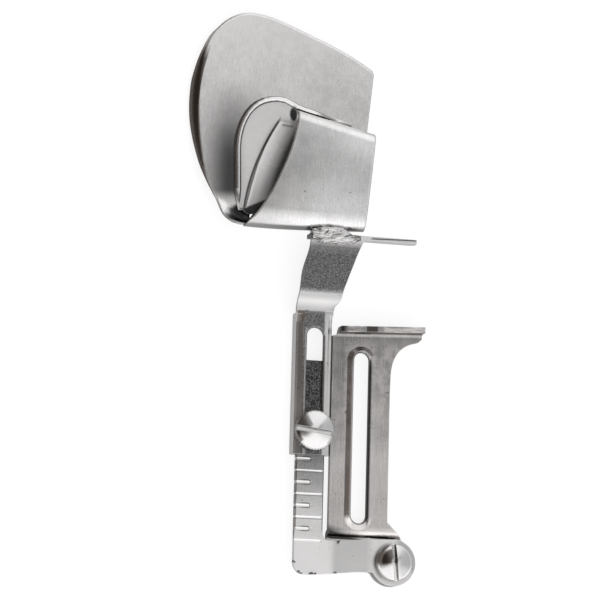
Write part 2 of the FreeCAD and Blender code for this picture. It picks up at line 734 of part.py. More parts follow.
def scroll_section(x, y_low, y_top, z_front):
    # outer side of the sheet from the fan plate round the bottom fold, up the front and over the top fold,
    # then the inner side back again
    turn = math.radians(belly_turn)
    ro = (z_front - fan_z - belly_r * (1.0 - math.cos(turn))) / (1.0 + math.cos(turn))
    ri = ro - fold_t
    cy = y_low + ro
    cz = fan_z + ro
    by = cy + math.sin(turn) * (belly_r - ro)
    bz = z_front - belly_r
    bi = belly_r - fold_t
    rt = top_bend_r
    rti = rt - fold_t
    ty = y_top - rt
    tz = z_front - rt
    bulge = 0.25
    a0 = math.radians(top_bend_end)
    am = (a0 + math.radians(90.0)) / 2.0
    af = math.radians(90.0) + turn
    ah = math.radians(90.0) + turn / 2.0

    def at(y, z):
        return V(x, y, z)

    def ring(cyy, czz, r, ang):
        return V(x, cyy + r * math.cos(ang), czz + r * math.sin(ang))

    half_a = math.radians(190.0)
    edges_s = [
        Part.makeLine(at(cy + 1.6, fan_z), at(cy, fan_z)),
        Part.Arc(at(cy, fan_z), ring(cy, cz, ro, half_a), ring(cy, cz, ro, af)).toShape(),
        Part.Arc(ring(cy, cz, ro, af), ring(by, bz, belly_r, ah), at(by, z_front)).toShape(),
        Part.Arc(at(by, z_front), at((by + ty) / 2, z_front + bulge), at(ty, z_front)).toShape(),
        Part.Arc(at(ty, z_front), ring(ty, tz, rt, am), ring(ty, tz, rt, a0)).toShape(),
        Part.makeLine(ring(ty, tz, rt, a0), ring(ty, tz, rti, a0)),
        Part.Arc(ring(ty, tz, rti, a0), ring(ty, tz, rti, am), at(ty, z_front - fold_t)).toShape(),
        Part.Arc(at(ty, z_front - fold_t), at((by + ty) / 2, z_front - fold_t + bulge),
                 at(by, z_front - fold_t)).toShape(),
        Part.Arc(at(by, z_front - fold_t), ring(by, bz, bi, ah), ring(cy, cz, ri, af)).toShape(),
        Part.Arc(ring(cy, cz, ri, af), ring(cy, cz, ri, half_a), at(cy, fan_z + fold_t)).toShape(),
        Part.makeLine(at(cy, fan_z + fold_t), at(cy + 1.6, fan_z + fold_t)),
        Part.makeLine(at(cy + 1.6, fan_z + fold_t), at(cy + 1.6, fan_z)),
    ]
    return Part.Wire(edges_s)


def lerp(a, b, f):
    return a + (b - a) * f


sections = []
for x in (-38.0, -20.0, -9.0, 3.5):
    f = (x + 20.0) / 20.5
    sections.append(scroll_section(
        x,
        lerp(fold_low_left, fold_low_right, max(0.0, f)),
        lerp(fold_top_left, fold_top_right, f),
        lerp(mouth_front_z, exit_front_z, max(-0.3, f)),
    ))
front = Part.makeLoft(sections, True, False)
mouth = [
    fan_pt(0.449, 0.584),
    fan_pt(0.451, 0.532),
    fan_pt(0.461, 0.475),
    fan_pt(0.479, 0.404),
    fan_pt(0.506, 0.332),
    fan_pt(0.548, 0.247),
    fan_pt(0.597, 0.159),
    fan_pt(0.641, 0.098),
    fan_pt(0.682, 0.049),
    fan_pt(0.726, 0.005),
    fan_pt(0.745, -0.018),
]
ke = [spline_edge([(x, y, 0) for x, y in mouth])]
low_y = fold_low_left - 6.3
exit_low = fan_pt(0.064, -0.103)
exit_top = fan_pt(-0.003, 0.460)
ke.append(line((*mouth[-1], 0), (mouth[-1][0], low_y, 0)))
ke.append(line((mouth[-1][0], low_y, 0), (*exit_low, 0)))
ke.append(line((*exit_low, 0), (*exit_top, 0)))
ke.append(line((*exit_top, 0), (exit_top[0] + 0.5, mouth[0][1], 0)))
ke.append(line((exit_top[0] + 0.5, mouth[0][1], 0), (*mouth[0], 0)))
keep = Part.Face(Part.Wire(Part.__sortEdges__(ke)))
keep.translate(V(0, 0, -1))
front = front.common(keep.extrude(V(0, 0, 20)))
scroll = fan.fuse(curl).fuse(roll).fuse(front)
folder_scroll = one_solid(scroll)

# Inner guide: back plate with a beaded edge, ramp and inner layer, one sheet
g0 = fan_top
g1 = g0 + guide_t
lip_pts = [
    fan_pt(0.769, 0.075),
    fan_pt(0.777, 0.142),
    fan_pt(0.781, 0.211),
    fan_pt(0.785, 0.314),
    fan_pt(0.785, 0.398),
    fan_pt(0.769, 0.468),
    fan_pt(0.741, 0.524),
    fan_pt(0.700, 0.570),
    fan_pt(0.647, 0.602),
    fan_pt(0.577, 0.620),
    fan_pt(0.504, 0.619),
    fan_pt(0.437, 0.594),
    fan_pt(0.350, 0.574),
    fan_pt(0.242, 0.553),
    fan_pt(0.123, 0.530),
]
inset = 1.0


def shifted(points, dist):
    out = []
    m = len(points)
    for i in range(m):
        a = points[max(0, i - 1)]
        b = points[min(m - 1, i + 1)]
        d = (b[0] - a[0], b[1] - a[1])
        ld = math.hypot(*d)
        out.append((points[i][0] + d[1] / ld * dist, points[i][1] - d[0] / ld * dist))
    return out


plate_edge = shifted(lip_pts, inset)
ge = [spline_edge([(x, y, 0) for x, y in plate_edge])]
p_first = plate_edge[0]
p_last = plate_edge[-1]
g_right = fan_pt(0.066, 0.388)
g_low = fan_pt(0.078, 0.083)
ge.append(line((*p_last, 0), (*g_right, 0)))
ge.append(line((*g_right, 0), (*g_low, 0)))
ge.append(line((*g_low, 0), (p_first[0] + 3.0, p_first[1], 0)))
ge.append(line((p_first[0] + 3.0, p_first[1], 0), (*p_first, 0)))
g_face = Part.Face(Part.Wire(Part.__sortEdges__(ge)))
g_face.translate(V(0, 0, g0))
guide = g_face.extrude(V(0, 0, guide_t))
lip_curve = Part.BSplineCurve()
lip_curve.interpolate([V(x, y, 0) for x, y in shifted(lip_pts, bead_r)])
bead_n = 30
bead_wires = []
for j in range(bead_n + 1):
    u0 = lip_curve.FirstParameter + (lip_curve.LastParameter - lip_curve.FirstParameter) * j / bead_n
    base = lip_curve.value(u0)
    tan = lip_curve.tangent(u0)[0]
    nx = tan.y
    ny = -tan.x
    size = min(1.0, 0.3 + 0.25 * j, 0.3 + 0.12 * (bead_n - j))
    prof = []
    for i in range(9):
        a = math.radians(180 * i / 8)
        u = bead_r * size * math.cos(a)
        z = bead_r * 1.2 * size * math.sin(a)
        prof.append(V(base.x + nx * u, base.y + ny * u, g0 + z))
    prof.append(prof[0])
    bead_wires.append(Part.makePolygon(prof))
bead = Part.makeLoft(bead_wires, True, True)
guide = guide.fuse(bead)

# ramp beside the mouth: its free edge stands up at the left and the sheet falls away under the front
ramp_sections = [
    (fan_pt(0.748, 0.083), 2.6, 0.30, -30.0),
    (fan_pt(0.713, 0.094), 4.0, 0.70, -24.0),
    (fan_pt(0.689, 0.191), 6.6, 1.45, -20.0),
    (fan_pt(0.659, 0.285), 7.4, 1.62, -16.0),
    (fan_pt(0.622, 0.370), 7.8, 1.70, -12.0),
    (fan_pt(0.585, 0.438), 8.0, 1.75, -8.0),
    (fan_pt(0.540, 0.497), 8.2, 1.78, -4.0),
]
ramp_n = 8
wires = []
for (x, y), w, h, turn in ramp_sections:
    dirx = math.cos(math.radians(turn))
    diry = math.sin(math.radians(turn))
    top = []
    under = []
    sunk = -0.3 * guide_t
    for i in range(ramp_n + 1):
        u = w * i / ramp_n
        z = h * (1.0 - i / ramp_n) ** 1.7
        edge = 0.12 if i == 0 else 0.0
        top.append((u, z - edge))
        under.append((u, max(z - ramp_t, 1.4 * sunk - 0.02 * i * guide_t)))
    section = top + [(w + 0.2, sunk)] + under[::-1]
    pts = [V(x + dirx * u, y + diry * u, g1 - 0.02 + z) for u, z in section]
    pts.append(pts[0])
    wires.append(Part.makePolygon(pts))
ramp = Part.makeLoft(wires, True, True)
guide = guide.fuse(ramp)
guide = guide.cut(folder_scroll)
inner_guide = one_solid(guide)

# Solder joint between the end flange and the bottom fold
sol = [
    (-16.3, 53.3, 8.55, 8.5, 56.7),
    (-14.0, 52.3, 9.0, 9.1, 57.3),
    (-10.5, 52.5, 8.95, 9.3, 57.6),
    (-7.5, 52.2, 9.05, 9.0, 57.4),
    (-5.6, 52.6, 8.95, 8.6, 56.6),
    (-4.4, 52.9, 8.85, 8.0, 55.8),
    (-2.2, 53.6, 8.55, 7.4, 55.7),
]
wires = []
for x, y0, za, zb, y1 in sol:
    section = [
        (y0, z_arm - 0.4),
        (y0 + 0.1, z_arm + 0.02),
        (y0 + 0.8, za),
        (54.6, za + 0.12),
        (y1 - 0.6, zb),
        (y1, zb - 0.7),
        (y1, 5.2),
        (55.2, 4.4),
        (54.8, 4.9),
        (54.2, z_arm - 0.6),
    ]
    pts = [V(x, y, z) for y, z in section]
    pts.append(pts[0])
    wires.append(Part.makePolygon(pts))
solder = Part.makeLoft(wires, True, True)
solder = solder.cut(slide_arm).cut(folder_scroll)
solder_joint = one_solid(solder)

parts = {
    "mounting_bracket": mounting_bracket,
    "pivot_screw": pivot_screw,
    "swing_arm": swing_arm,
    "slide_arm": slide_arm,
    "clamp_screw": clamp_screw,
    "folder_scroll": folder_scroll,
    "inner_guide": inner_guide,
    "solder_joint": solder_joint,
}
os.makedirs("parts", exist_ok=True)
for name, shape in parts.items():
    box = shape.BoundBox
    print(name, shape.isValid(), len(shape.Solids), round(shape.Volume, 1),
          [round(v, 2) for v in (box.XMin, box.XMax, box.YMin, box.YMax, box.ZMin, box.ZMax)])
    shape.exportStep("parts/" + name + ".step")
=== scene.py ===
import math

import bpy
from mathutils import Matrix, Vector, noise


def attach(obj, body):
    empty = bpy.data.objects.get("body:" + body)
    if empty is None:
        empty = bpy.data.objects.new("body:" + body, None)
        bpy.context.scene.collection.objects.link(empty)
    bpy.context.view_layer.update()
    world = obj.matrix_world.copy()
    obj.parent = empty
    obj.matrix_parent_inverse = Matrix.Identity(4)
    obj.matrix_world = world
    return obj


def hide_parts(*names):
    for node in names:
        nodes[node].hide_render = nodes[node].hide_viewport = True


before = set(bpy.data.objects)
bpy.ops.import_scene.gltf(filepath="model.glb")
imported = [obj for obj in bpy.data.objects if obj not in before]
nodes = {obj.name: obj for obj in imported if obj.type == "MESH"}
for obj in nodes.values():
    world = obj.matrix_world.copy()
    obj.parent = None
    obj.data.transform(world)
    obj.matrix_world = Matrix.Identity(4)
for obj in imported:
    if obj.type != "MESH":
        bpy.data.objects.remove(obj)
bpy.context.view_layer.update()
MM = 0.001

# Camera: the viewing angle and distance of the photograph
AZIMUTH = math.radians(15.0)
ELEVATION = math.radians(9.5)
ROLL = math.radians(1.5)
DISTANCE = 0.75
TARGET = Vector((-17.634, 37.459, 1.765)) * MM
PIXELS_PER_MM = 3.62
FRAME_PIXELS = 600.0
SENSOR_WIDTH = 36.0
CLIP_START = 0.05
CLIP_END = 20.0

# Tints, which multiply a tone
WHITE = (1.0, 1.0, 1.0)
WARM = (1.0, 0.965, 0.945)
COOL = (1.0, 0.988, 0.985)
BROWN = (1.0, 0.86, 0.78)
BROWN_BELOW = 0.2  # painted reflections on the screws that are darker than this are brown

# Axes of the two screws, metres
PIVOT = (0.0103, -0.0339, 0.0)
CLAMP = (-0.0136, 0.0010, 0.0)

# Node trees
MIX_A, MIX_B, MIX_RESULT = 6, 7, 2  # colour sockets of the Mix node
NO_HEIGHT = (1.0, 1.0, 0.0)  # times a vector: leaves out its height
SMOOTH = "SMOOTHSTEP"
UNSTRETCHED = (1.0, 1.0, 1.0)
SCALAR_RESULTS = ("DISTANCE", "DOT_PRODUCT", "LENGTH")

# Steel in general
BEVEL_SAMPLES = 6
GRIME_SAMPLES = 8
GRAIN = (2600.0, 4.0, 0.65)  # scale, detail and roughness of a noise; scales are features per metre
STREAKS = (900.0, 3.0, 0.6)
CLOUDS = (3.0, 0.55)  # detail and roughness
WARP_SCALE = 900.0
UPRIGHT = (0.75, 0.35)  # height of a normal where its face starts to be upright, and where it is
SIDE_AMOUNT = 0.75
EDGE_AMOUNT = 0.6
SIDE_ROUGHNESS = 0.12  # added on upright faces
PORE_TONE = 0.12
PORE_FADE = 0.05
TURNED_ANISOTROPY = 0.5
SECTOR_FULL = 0.7  # share of a sector's width that has its full strength
SECTOR_FADE_IN = 0.5  # millimetres
SECTOR_FADE_OUT = 0.4

# Stamped marks on the swing arm's leg, long and short in turn; millimetres
MARK_PITCH = 6.35
FIRST_SHORT_Y = -6.6
SHORT_END_X = -14.3
LONG_SHADOW = 0.42  # from a long mark's middle line to its shadow

# Nicks along the swing arm's edges: x, y and radius in millimetres
NICKS = (
    (-16.4, -37.7, 0.6), (-15.6, -37.9, 0.45), (-12.9, -38.0, 0.8), (-11.7, -37.9, 0.5),
    (-6.1, -37.6, 0.7), (-5.4, -37.7, 0.45), (2.2, -37.1, 0.45), (-17.9, -34.6, 0.35),
    (-18.1, -20.0, 0.5), (-18.1, -9.0, 0.4), (-5.6, -28.6, 0.85),
)

# The guide's ramp, whose left edge is a bowed line that starts at its foot; millimetres
RAMP_FOOT_X, RAMP_FOOT_Y = -34.4, 61.9
RAMP_RISE = 24.8
RAMP_BOW = 5.6
RAMP_ACROSS_X, RAMP_ACROSS_Y = 0.941, 0.338
RAMP_METALLIC = 0.12  # dull, so that its painted shades show and not a reflection

# Turned screw faces
DISH = 0.10  # slope of the face towards its middle
RING_PITCH = 0.42  # millimetres between two tool marks
# Painted reflections and shade: heading and half width in degrees, inner and outer radius in
# millimetres, tone
PIVOT_PAINTED_REFLECTIONS = (
    (147.0, 52.0, 0.9, 4.0, 0.13),
    (0.0, 75.0, 1.2, 4.6, 0.60),
    (180.0, 80.0, 4.5, 5.6, 0.55),
)
CLAMP_PAINTED_REFLECTIONS = (
    (142.0, 26.0, 1.4, 5.4, 0.38),
    (24.0, 30.0, 0.8, 6.0, 0.60),
    (203.0, 20.0, 4.2, 6.0, 0.16),
    (335.0, 24.0, 4.4, 6.0, 0.5),
)
CLAMP_TEETH = 80.0

# Lumps of the solder run; lengths in millimetres
SOLDER_VOXEL = 0.12
LUMP_SCALE = 0.45
LUMP_DEPTH = 0.26
LUMP_FRACTAL = (0.9, 2.1, 2)
CREASE_SCALE = (0.40, 1.3, 0.8)
CREASE_SHIFT = 7.0
CREASE_DEPTH = 0.24
CREASE_SHARPNESS = 5.0

# Studio
FLOOR_HALF = 4.0
FLOOR_Z = -0.0001
FLOOR_GLOW = 0.82
FLOOR_MIRRORED = 0.5  # share of the glow that the steel mirrors
FLOOR_DIFFUSE = 0.3


def add_camera():
    to_camera = Vector((
        -math.sin(AZIMUTH) * math.cos(ELEVATION),
        -math.sin(ELEVATION),
        math.cos(AZIMUTH) * math.cos(ELEVATION),
    ))
    level = Vector((math.cos(AZIMUTH), 0.0, math.sin(AZIMUTH)))
    right = math.cos(ROLL) * level + math.sin(ROLL) * to_camera.cross(level)
    up = to_camera.cross(right)
    data = bpy.data.cameras.new("camera")
    data.sensor_width = SENSOR_WIDTH
    data.lens = PIXELS_PER_MM * DISTANCE / MM / FRAME_PIXELS * SENSOR_WIDTH
    data.clip_start = CLIP_START
    data.clip_end = CLIP_END
    camera = bpy.data.objects.new("camera", data)
    turn = Matrix((right, up, to_camera)).transposed()
    camera.matrix_world = Matrix.Translation(TARGET + to_camera * DISTANCE) @ turn.to_4x4()
    bpy.context.scene.collection.objects.link(camera)
    bpy.context.scene.camera = camera


def rgb(tone, tint):
    return (tone * tint[0], tone * tint[1], tone * tint[2], 1.0)


class Tree:
    """The nodes of a material or a world, with a short method for each kind in use."""

    def __init__(self, owner, output_kind, coordinates):
        owner.use_nodes = True
        self.nodes = owner.node_tree.nodes
        self.links = owner.node_tree.links
        self.nodes.clear()
        self.out = self.nodes.new(output_kind)
        self.coords = self.nodes.new("ShaderNodeTexCoord").outputs[coordinates]

    def put(self, socket, value):
        if isinstance(value, bpy.types.NodeSocket):
            self.links.new(value, socket)
        else:
            socket.default_value = value

    def node(self, kind, inputs=None, **settings):
        made = self.nodes.new(kind)
        for key, value in settings.items():
            setattr(made, key, value)
        for key, value in (inputs or {}).items():
            self.put(made.inputs[key], value)
        return made

    def surface(self, shader):
        self.links.new(shader.outputs[0], self.out.inputs["Surface"])

    def math(self, operation, a, b=0.0, clamp=False):
        made = self.node("ShaderNodeMath", {0: a, 1: b}, operation=operation, use_clamp=clamp)
        return made.outputs[0]

    def plus(self, a, b):
        return self.math("ADD", a, b)

    def minus(self, a, b):
        return self.math("SUBTRACT", a, b)

    def times(self, a, b):
        return self.math("MULTIPLY", a, b)

    def where(self, first, *others):
        # 1 only where every mask is 1
        for mask in others:
            first = self.times(first, mask)
        return first

    def vector(self, operation, a, b=(0.0, 0.0, 0.0)):
        made = self.node("ShaderNodeVectorMath", {0: a, 1: b}, operation=operation)
        return made.outputs["Value" if operation in SCALAR_RESULTS else "Vector"]

    def place(self, stretch, turn=0.0):
        # coordinates for streaks: a small factor makes long features, turned about Z in degrees
        made = self.node("ShaderNodeMapping", {
            "Vector": self.coords,
            "Rotation": (0.0, 0.0, math.radians(turn)),
            "Scale": stretch,
        })
        return made.outputs[0]

    def noise(self, scale, detail=2.0, rough=0.5, vector=None, contrast=None):
        made = self.node("ShaderNodeTexNoise", {
            "Vector": vector or self.coords,
            "Scale": scale,
            "Detail": detail,
            "Roughness": rough,
        })
        value = made.outputs["Fac"]
        if contrast:
            value = self.ramp(value, *contrast)
        return value

    def ramp(self, value, low, high, to_low=0.0, to_high=1.0, kind="LINEAR"):
        made = self.node("ShaderNodeMapRange", {
            "Value": value,
            "From Min": low,
            "From Max": high,
            "To Min": to_low,
            "To Max": to_high,
        }, interpolation_type=kind)
        return made.outputs[0]

    def window(self, value, start, full, fall, end, kind="LINEAR"):
        # 0 outside start..end, 1 between full and fall
        up = self.ramp(value, start, full, kind=kind)
        down = self.ramp(value, end, fall, kind=kind)
        return self.times(up, down)

    def mix(self, share, a, b):
        made = self.node("ShaderNodeMix", {"Factor": share, MIX_A: a, MIX_B: b}, data_type="RGBA")
        return made.outputs[MIX_RESULT]


class Steel(Tree):
    """Positions and lengths are in millimetres of the shared frame, tones run from 0 to 1.
    """

    def __init__(self, name, tint=WARM, edge=0.16, outline=(0.995, 0.90)):
        # edge: radius of the rounded edges
        # outline: how far the rounded normal still agrees with the face where the edge tone starts,
        # and where it is full
        self.material = bpy.data.materials.new(name)
        super().__init__(self.material, "ShaderNodeOutputMaterial", "Object")
        self.tint = tint
        face = self.node("ShaderNodeNewGeometry").outputs["Normal"]
        rounded = self.node("ShaderNodeBevel", {"Radius": edge * MM}, samples=BEVEL_SAMPLES)
        self.normal = rounded.outputs[0]
        self.edge = self.ramp(self.vector("DOT_PRODUCT", self.normal, face), *outline)
        split = self.node("ShaderNodeSeparateXYZ", {0: face})
        self.facing_y = split.outputs[1]
        self.upright = self.ramp(self.math("ABSOLUTE", split.outputs[2]), *UPRIGHT)
        place = self.node("ShaderNodeSeparateXYZ", {0: self.coords})
        self.x, self.y, self.z = place.outputs

    # Masks

    def past(self, value, start, full, kind="LINEAR", least=0.0):
        # 0, or least, at start and before it, 1 at full and past it
        return self.ramp(value, start * MM, full * MM, least, 1.0, kind)

    def band(self, value, start, full, fall, end):
        # 0 outside start..end, 1 between full and fall
        return self.window(value, start * MM, full * MM, fall * MM, end * MM)

    def level(self, from_x, slope):
        # y counted from a line that rises by the slope and crosses y = 0 at from_x
        return self.minus(self.y, self.times(self.minus(self.x, from_x * MM), slope))

    def spot(self, x, y, radius, soft, warp):
        # 1 inside a round mark at x, y whose outline is warped
        wobble = self.node("ShaderNodeTexNoise", {
            "Vector": self.coords, "Scale": WARP_SCALE, "Detail": 2.0,
        })
        shift = self.vector("SUBTRACT", wobble.outputs["Color"], (0.5, 0.5, 0.5))
        shift = self.vector("MULTIPLY", shift, (warp * MM, warp * MM, warp * MM))
        here = self.vector("MULTIPLY", self.vector("ADD", self.coords, shift), NO_HEIGHT)
        away = self.vector("DISTANCE", here, (x * MM, y * MM, 0.0))
        return self.past(away, radius, radius * (1.0 - soft))

    def oval(self, x, y, half_x, half_y, inner):
        # 0 at the rim of an oval at x, y, and 1 where the square of the way out to the rim is inner
        across = self.math("DIVIDE", self.minus(self.x, x * MM), half_x * MM)
        along = self.math("DIVIDE", self.minus(self.y, y * MM), half_y * MM)
        away = self.plus(self.times(across, across), self.times(along, along))
        return self.ramp(away, 1.0, inner)

    def radial(self, centre):
        # from the axis of a turned face to here: as a vector, and as a length
        arm = self.vector("MULTIPLY", self.vector("SUBTRACT", self.coords, centre), NO_HEIGHT)
        return arm, self.vector("LENGTH", arm)

    def sector(self, centre, heading, half, inner, outer):
        # 1 inside a wedge of a turned face: heading and half width in degrees, then both radii
        arm, away = self.radial(centre)
        heading = math.radians(heading)
        ahead = (math.cos(heading), math.sin(heading), 0.0)
        turn = self.vector("DOT_PRODUCT", self.vector("NORMALIZE", arm), ahead)
        wedge = self.ramp(turn, math.cos(math.radians(half)),
                          math.cos(math.radians(SECTOR_FULL * half)))
        ring = self.band(away, inner, inner + SECTOR_FADE_IN, outer - SECTOR_FADE_OUT, outer)
        return self.where(wedge, ring)

    # Steps that build the surface

    def start(self, light, dark, side, grain, streak, stretch=UNSTRETCHED, turn=0.0,
              cloud_scale=95.0, spread=0.16):
        # dark to light by the shares of grain, streak and, for the rest, soft clouds; the side tone
        # on upright faces is partly the dull tone of cut edges and partly painted shade
        fine = self.noise(*GRAIN)
        self.cloud = self.noise(cloud_scale, *CLOUDS)
        self.lines = self.noise(*STREAKS, self.place(stretch, turn))
        tone = self.plus(self.times(fine, grain), self.times(self.lines, streak))
        tone = self.plus(tone, self.times(self.cloud, 1.0 - grain - streak))
        share = self.ramp(tone, 0.5 - spread, 0.5 + spread)
        self.colour = self.mix(share, rgb(dark, self.tint), rgb(light, self.tint))
        self.shade(self.upright, side, SIDE_AMOUNT)

    def shade(self, mask, tone, amount, tint=None):
        # pulls the colour towards a tone where the mask is 1
        share = self.times(mask, amount)
        self.colour = self.mix(share, self.colour, rgb(tone, tint or self.tint))

    def pores(self, scale, size, depth):
        holes = self.noise(scale, contrast=(size, size - PORE_FADE))
        self.shade(holes, PORE_TONE, depth)

    def painted_crevice_shade(self, distance, tone=0.05, amount=0.9, low=0.25, high=0.62, tint=BROWN):
        # painted shade in corners and gaps: full where less than low of the surroundings is open,
        # none where more than high is
        hidden = self.node("ShaderNodeAmbientOcclusion", {"Distance": distance * MM},
                           samples=GRIME_SAMPLES)
        self.shade(self.ramp(hidden.outputs["AO"], high, low), tone, amount, tint)

    def relief(self, value, height, strength=1.0):
        made = self.node("ShaderNodeBump", {
            "Height": value, "Distance": height * MM, "Strength": strength, "Normal": self.normal,
        })
        self.normal = made.outputs[0]

    def finish(self, rough, vary=0.2, edge_tone=0.82, metallic=1.0, turned=None):
        # turned: the axis of a turned face, whose highlights run along the radius
        self.shade(self.edge, edge_tone, EDGE_AMOUNT)
        roughness = self.plus(rough, self.times(self.minus(self.cloud, 0.5), vary))
        side = self.times(self.upright, SIDE_ROUGHNESS)
        shader = self.node("ShaderNodeBsdfPrincipled", {
            "Base Color": self.colour,
            "Roughness": self.math("ADD", roughness, side, clamp=True),
            "Normal": self.normal,
            "Metallic": metallic,
        })
        if turned:
            arm = self.vector("SUBTRACT", self.coords, turned)
            self.put(shader.inputs["Tangent"], self.vector("CROSS_PRODUCT", (0.0, 0.0, 1.0), arm))
            self.put(shader.inputs["Anisotropic"], TURNED_ANISOTROPY)
        self.surface(shader)
        return self.material


def bracket_steel():
    # hot-rolled plate with fine lines along the slot
    m = Steel("bracket_steel")
    m.start(0.78, 0.52, side=0.26, grain=0.30, streak=0.45, stretch=(7.0, 0.22, 1.0))

    # mottled and darker towards the flange, with a worn pit and bright scratches
    far = m.past(m.y, -6.0, 16.0)
    mottle = m.noise(300.0, 5.0, 0.65, contrast=(0.44, 0.58))
    m.shade(m.where(mottle, far), 0.22, 0.6)
    m.shade(far, 0.46, 0.35)
    m.shade(m.where(m.past(m.x, -4.0, -5.2), far), 0.26, 0.6)
    m.shade(m.past(m.y, 24.5, 27.5), 0.34, 0.6)
    m.pores(520.0, 0.30, 0.6)
    m.shade(m.spot(8.6, 13.4, 0.5, soft=0.5, warp=0.6), 0.10, 0.9)
    scratches = m.noise(900.0, 3.0, 0.6, m.place((4.0, 0.12, 1.0)), (0.56, 0.66))
    m.shade(scratches, 0.95, 0.32)

    # end flange: a painted brown reflection across its crest, painted shade at its left end, a
    # painted highlight beside them, and painted shade on its face farther back
    crest = m.past(m.z, 5.0, 5.6)
    m.shade(m.where(crest, m.band(m.x, 0.1, 0.5, 3.3, 3.8)), 0.10, 0.95, BROWN)
    m.shade(m.where(crest, m.past(m.x, -5.2, -6.0)), 0.05, 0.9)
    beside = m.plus(m.past(m.x, 4.5, 6.0), m.band(m.x, -5.5, -4.5, -1.0, 0.0))
    shine = m.where(crest, m.ramp(beside, 0.3, 0.7))
    crest_highlight_streaks = m.noise(500.0, 3.0, 0.6, m.place((0.3, 3.0, 1.0)), (0.42, 0.56))
    m.shade(m.where(shine, crest_highlight_streaks), 1.0, 0.8)
    back_face_shade = m.where(m.band(m.z, 3.6, 4.0, 6.3, 6.8), m.past(m.y, 27.5, 28.3))
    m.shade(back_face_shade, 0.16, 0.8)

    # slot: painted shade on its walls, in the corners and in a band at its right, and a painted
    # highlight in a band at its left
    slot_wall_shade = m.where(m.past(m.math("ABSOLUTE", m.x), 2.45, 2.25), m.upright)
    m.shade(slot_wall_shade, 0.05, 0.9)
    m.painted_crevice_shade(0.7)
    slot_run = m.band(m.y, -24.5, -23.0, 19.5, 22.5)
    m.shade(m.where(m.band(m.x, 1.9, 2.1, 2.65, 3.1), slot_run), 0.06, 0.9)
    m.shade(m.where(m.band(m.x, -3.2, -2.9, -2.2, -2.0), slot_run), 0.95, 0.7)

    # step down to the lug: a painted highlight at its right, a black wedge of painted shade at its
    # left, and a broken line of painted shade under it
    right = m.where(m.band(m.y, -28.0, -27.8, -25.3, -24.4), m.past(m.x, -1.0, 3.5, SMOOTH))
    m.shade(right, 0.92, 0.9)
    aslant = m.band(m.level(-8.0, -0.27), -28.0, -27.6, -25.9, -23.9)
    wedge = m.where(aslant, m.past(m.y, -28.1, -27.8), m.past(m.x, 4.0, -1.0, SMOOTH))
    m.shade(wedge, 0.03, 0.97)
    broken = m.noise(330.0, 1.0, 0.4, contrast=(0.54, 0.50))
    shade_line = m.where(m.band(m.y, -27.5, -27.3, -26.9, -26.7), m.past(m.x, 1.0, 3.0), broken)
    m.shade(shade_line, 0.03, 0.95)

    m.relief(m.lines, 0.018, 0.7)
    m.relief(m.noise(1100.0, 3.0, 0.6), 0.030, 0.5)
    return m.finish(0.27)


def swing_steel():
    # satin strip, rough where the slide covers the leg, and darkened there by painted shade
    m = Steel("swing_arm_steel", COOL)
    m.start(0.96, 0.74, side=0.10, grain=0.40, streak=0.25, stretch=(0.5, 3.0, 1.0))
    speckle = m.noise(3300.0, 2.0, 0.6, contrast=(0.62, 0.44))
    upper = m.past(m.y, -22.0, -6.5)
    m.shade(upper, 0.26, 0.8)
    m.shade(m.where(upper, speckle), 0.16, 0.5)
    m.shade(m.band(m.x, -7.5, -6.5, 2.5, 5.0), 0.56, 0.6)
    covered = m.past(m.y, 4.0, 6.0)
    m.shade(covered, 0.20, 0.95)
    m.shade(m.where(covered, speckle), 0.015, 0.95)
    m.shade(m.where(m.past(m.x, -6.0, -8.5), m.past(m.y, -27.0, -29.0)), 1.0, 0.7)
    m.pores(600.0, 0.29, 0.5)

    # short marks: filled bars with a round end and a dark outline, fainter at the lowest
    up = m.math("DIVIDE", m.minus(m.y, FIRST_SHORT_Y * MM), MARK_PITCH * MM)
    row = m.math("FRACT", m.plus(up, 0.5))
    off = m.times(m.minus(row, 0.5), MARK_PITCH)
    beyond = m.times(m.math("MAXIMUM", m.minus(m.x, SHORT_END_X * MM), 0.0), 1.0 / MM)
    away = m.math("SQRT", m.plus(m.times(beyond, beyond), m.times(off, off)))
    rows = m.band(m.y, -27.0, -26.6, -5.9, -5.6)
    filled = m.where(rows, m.past(m.y, -24.5, -22.0, least=0.35))
    m.shade(m.where(filled, m.ramp(away, 0.46, 0.34)), 1.0, 0.75)
    outline = m.window(away, 0.42, 0.50, 0.66, 0.80)
    m.shade(m.where(rows, outline, m.past(m.x, -17.5, -15.5)), 0.08, 0.85)

    # long marks half a pitch away: bright lines, each with a thin shadow
    far = m.times(m.minus(m.math("FRACT", m.plus(row, 0.5)), 0.5), MARK_PITCH)
    leg = m.where(m.band(m.y, -27.6, -27.4, -5.9, -5.6), m.past(m.x, -8.9, -9.3))
    m.shade(m.where(leg, m.ramp(m.math("ABSOLUTE", far), 0.30, 0.16)), 1.0, 0.9)
    shadow = m.ramp(m.math("ABSOLUTE", m.plus(far, LONG_SHADOW)), 0.16, 0.06)
    m.shade(m.where(leg, shadow), 0.18, 0.7)

    # ring round the pivot screw: grey at its upper right and a painted shadow crescent at its left;
    # then the nicks
    m.shade(m.sector(PIVOT, 28.0, 60.0, 5.0, 7.6), 0.50, 0.8)
    m.shade(m.sector(PIVOT, 172.0, 80.0, 4.6, 5.9), 0.14, 0.35)
    for x, y, radius in NICKS:
        m.shade(m.spot(x, y, radius, soft=0.35, warp=1.3), 0.04, 0.9)
    # painted shade in corners and gaps
    m.painted_crevice_shade(0.35, 0.10, 0.8, 0.35, 0.75)

    m.relief(m.noise(1500.0, 3.0, 0.6), 0.030, 0.45)
    m.relief(m.times(covered, m.noise(3000.0, 2.0, 0.6)), 0.05, 0.8)
    return m.finish(0.33, edge_tone=0.95)


